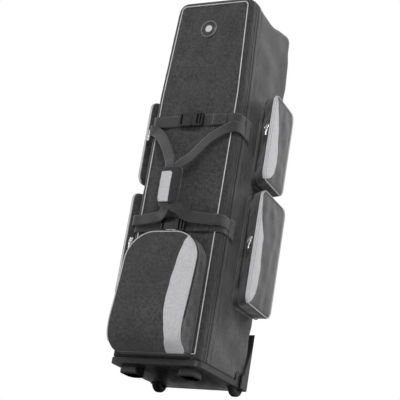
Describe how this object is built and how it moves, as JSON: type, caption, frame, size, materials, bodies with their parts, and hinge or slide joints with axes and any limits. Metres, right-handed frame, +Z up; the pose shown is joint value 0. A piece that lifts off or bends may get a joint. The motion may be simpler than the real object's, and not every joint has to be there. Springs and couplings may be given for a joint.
{
  "type": "wheeled golf travel case",
  "caption": "Tall padded soft case for a golf bag, with a zipped front lid, side pockets, a shoe pocket, buckled straps, a carry handle and two wheels on a moulded base.",
  "frame": {"origin": "on the floor, below the middle of the whole outline", "axes": "+Z up, +X to the case's right seen from the front, +Y to its back"},
  "size_m": [0.489, 0.4305, 1.305],
  "materials": {
    "wheel_rubber": "matte",
    "hub_plastic": "moulded",
    "axle_steel": "brushed",
    "zip_metal": "polished",
    "pull_rubber": "matte",
    "webbing": "ribbed weave",
    "buckle_plastic": "moulded",
    "piping": "satin",
    "emblem_plastic": "moulded",
    "guard_plastic": "textured",
    "base_plastic": "textured",
    "board_plastic": "sheet",
    "foam": "padded",
    "zip_tape": "woven tape and coil",
    "grip_fabric": "padded weave",
    "pocket_fabric": "woven, light panel in front",
    "body_fabric": "heavy woven nylon"
  },
  "bodies": {
    "case": {"shell": "body_fabric", "liner": "foam", "back_board": "board_plastic", "yoke": "body_fabric", "base_tray": "base_plastic", "rear_guard": "guard_plastic", "wheel_housing_left": "guard_plastic", "wheel_housing_right": "guard_plastic", "axle_left": "axle_steel", "axle_right": "axle_steel", "foot_left": "base_plastic", "foot_right": "base_plastic", "zip_track_shell": "zip_tape", "anchor_tabs_left": "webbing", "anchor_tabs_right": "webbing", "pocket_upper_left": "body_fabric", "pocket_upper_right": "body_fabric", "pocket_lower_left": "body_fabric", "pocket_lower_right": "body_fabric"},
    "lid": {"lid_panel": "body_fabric", "zip_track_lid": "zip_tape", "lid_piping": "piping", "emblem": "emblem_plastic", "strap_upper_left": "webbing", "strap_upper_right": "webbing", "strap_lower_left": "webbing", "strap_lower_right": "webbing", "buckle_socket_upper": "buckle_plastic", "buckle_socket_lower": "buckle_plastic", "carry_band_left": "webbing", "carry_band_right": "webbing", "shoe_pocket": "body_fabric"},
    "shoe_pocket_flap": {"shoe_flap": "pocket_fabric", "shoe_piping": "piping"},
    "wheel_left": {"tyre_left": "wheel_rubber", "hub_left": "hub_plastic"},
    "wheel_right": {"tyre_right": "wheel_rubber", "hub_right": "hub_plastic"},
    "buckle_plug_upper": {"buckle_plug_upper": "buckle_plastic"},
    "buckle_plug_lower": {"buckle_plug_lower": "buckle_plastic"},
    "carry_grip": {"grip_wrap": "grip_fabric"},
    "back_handle": {"back_handle": "webbing"},
    "cover_upper_left": {"cover_upper_left": "pocket_fabric"},
    "slider_upper_left": {"slider_upper_left": "zip_metal"},
    "pull_upper_left": {"pull_upper_left": "pull_rubber"},
    "cover_upper_right": {"cover_upper_right": "pocket_fabric"},
    "slider_upper_right": {"slider_upper_right": "zip_metal"},
    "pull_upper_right": {"pull_upper_right": "pull_rubber"},
    "cover_lower_left": {"cover_lower_left": "pocket_fabric"},
    "slider_lower_left": {"slider_lower_left": "zip_metal"},
    "pull_lower_left": {"pull_lower_left": "pull_rubber"},
    "cover_lower_right": {"cover_lower_right": "pocket_fabric"},
    "slider_lower_right": {"slider_lower_right": "zip_metal"},
    "pull_lower_right": {"pull_lower_right": "pull_rubber"},
    "slider_shoe": {"slider_shoe": "zip_metal"},
    "pull_shoe": {"pull_shoe": "pull_rubber"},
    "slider_main": {"slider_main": "zip_metal"},
    "pull_main": {"pull_main": "pull_rubber"}
  },
  "joints": [
    {"name": "wheel_left_spin", "type": "hinge", "parent": "case", "child": "wheel_left", "pos_m": [-0.1415, 0.1705, 0.034], "axis": [1, 0, 0], "continuous": true},
    {"name": "wheel_right_spin", "type": "hinge", "parent": "case", "child": "wheel_right", "pos_m": [0.1415, 0.1705, 0.034], "axis": [1, 0, 0], "continuous": true},
    {"name": "lid_open", "type": "hinge", "parent": "case", "child": "lid", "pos_m": [-0.1665, -0.0745, 0.6], "axis": [0, 0, -1], "range_deg": [0, 100]},
    {"name": "shoe_flap_open", "type": "hinge", "parent": "lid", "child": "shoe_pocket_flap", "pos_m": [0, -0.1205, 0.054], "axis": [1, 0, 0], "range_deg": [0, 50]},
    {"name": "cover_upper_left_open", "type": "hinge", "parent": "case", "child": "cover_upper_left", "pos_m": [-0.2095, 0.156, 0.818], "axis": [0, 0, -1], "range_deg": [0, 100]},
    {"name": "slider_upper_left_run", "type": "slide", "parent": "case", "child": "slider_upper_left", "axis": [0, 0, 1], "range_m": [-0.116, 0.093]},
    {"name": "pull_upper_left_lift", "type": "hinge", "parent": "slider_upper_left", "child": "pull_upper_left", "pos_m": [-0.2225, -0.03882, 0.848], "axis": [-1, 0, 0], "range_deg": [0, 120]},
    {"name": "cover_upper_right_open", "type": "hinge", "parent": "case", "child": "cover_upper_right", "pos_m": [0.2095, 0.156, 0.818], "axis": [0, 0, 1], "range_deg": [0, 100]},
    {"name": "slider_upper_right_run", "type": "slide", "parent": "case", "child": "slider_upper_right", "axis": [0, 0, 1], "range_m": [-0.116, 0.093]},
    {"name": "pull_upper_right_lift", "type": "hinge", "parent": "slider_upper_right", "child": "pull_upper_right", "pos_m": [0.2225, -0.03882, 0.848], "axis": [-1, 0, 0], "range_deg": [0, 120]},
    {"name": "cover_lower_left_open", "type": "hinge", "parent": "case", "child": "cover_lower_left", "pos_m": [-0.2165, 0.184, 0.446], "axis": [0, 0, -1], "range_deg": [0, 100]},
    {"name": "slider_lower_left_run", "type": "slide", "parent": "case", "child": "slider_lower_left", "axis": [0, 0, 1], "range_m": [-0.142, 0.147]},
    {"name": "pull_lower_left_lift", "type": "hinge", "parent": "slider_lower_left", "child": "pull_lower_left", "pos_m": [-0.2225, -0.03467, 0.462], "axis": [-1, 0, 0], "range_deg": [0, 120]},
    {"name": "cover_lower_right_open", "type": "hinge", "parent": "case", "child": "cover_lower_right", "pos_m": [0.2165, 0.184, 0.446], "axis": [0, 0, 1], "range_deg": [0, 100]},
    {"name": "slider_lower_right_run", "type": "slide", "parent": "case", "child": "slider_lower_right", "axis": [0, 0, 1], "range_m": [-0.142, 0.147]},
    {"name": "pull_lower_right_lift", "type": "hinge", "parent": "slider_lower_right", "child": "pull_lower_right", "pos_m": [0.2225, -0.03467, 0.462], "axis": [-1, 0, 0], "range_deg": [0, 120]},
    {"name": "slider_shoe_run", "type": "slide", "parent": "lid", "child": "slider_shoe", "axis": [1, 0, 0], "range_m": [-0.045, 0]},
    {"name": "pull_shoe_lift", "type": "hinge", "parent": "slider_shoe", "child": "pull_shoe", "pos_m": [0.02183, -0.1605, 0.45], "axis": [0, 1, 0], "range_deg": [0, 100]},
    {"name": "slider_main_run", "type": "slide", "parent": "case", "child": "slider_main", "axis": [1, 0, 0], "range_m": [0, 0.169]},
    {"name": "pull_main_lift", "type": "hinge", "parent": "slider_main", "child": "pull_main", "pos_m": [-0.0865, -0.0745, 1.3035], "axis": [0, -1, 0], "range_deg": [0, 150]},
    {"name": "buckle_upper_release", "type": "slide", "parent": "lid", "child": "buckle_plug_upper", "axis": [1, 0, 0], "range_m": [0, 0.028]},
    {"name": "buckle_lower_release", "type": "slide", "parent": "lid", "child": "buckle_plug_lower", "axis": [1, 0, 0], "range_m": [0, 0.028]},
    {"name": "carry_grip_pull", "type": "slide", "parent": "lid", "child": "carry_grip", "axis": [0, -1, 0], "range_m": [0, 0.022], "deforming": ["carry_band_left", "carry_band_right"]},
    {"name": "back_handle_swing", "type": "hinge", "parent": "case", "child": "back_handle", "pos_m": [0, 0.2125, 1.225], "axis": [1, 0, 0], "range_deg": [0, 110]}
  ]
}
